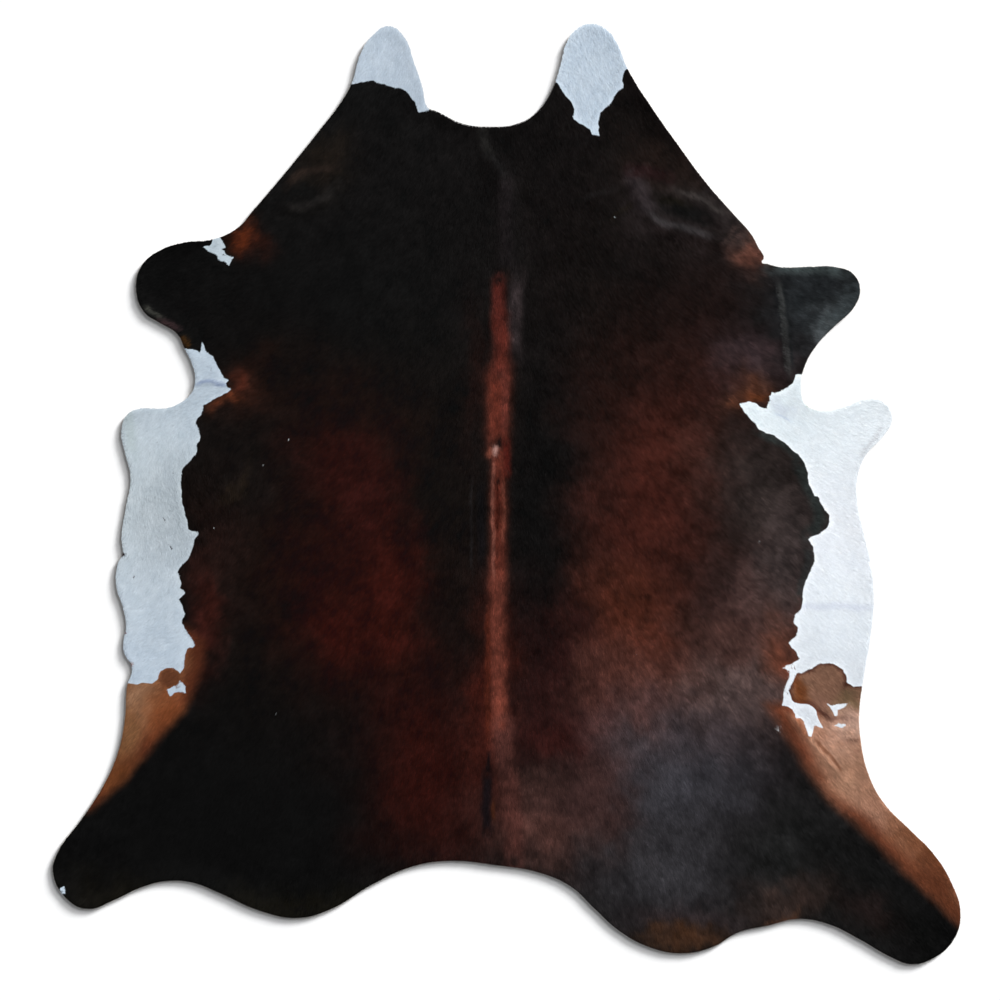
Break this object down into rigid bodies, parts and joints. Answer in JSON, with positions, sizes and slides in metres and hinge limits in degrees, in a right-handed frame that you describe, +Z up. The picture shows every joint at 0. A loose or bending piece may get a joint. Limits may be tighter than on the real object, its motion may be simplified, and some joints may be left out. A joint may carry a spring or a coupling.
{
  "type": "cowhide rug",
  "caption": "Flat rug made of one whole hair-on cowhide with neck, fore and hind flaps, dark brown with white flank and neck patches.",
  "frame": {"origin": "On the floor, under the middle of the hide's bounding box.", "axes": "+Z up, away from the floor; +Y along the spine towards the neck; +X to the right as seen from above with the neck at the top. The hair lies on the +Z face."},
  "size_m": [2.0864, 2.16, 0.011],
  "materials": {
    "hair": "short lying hair, dark brown and white, low sheen"
  },
  "bodies": {
    "root": {"hide": "hair"}
  },
  "joints": []
}
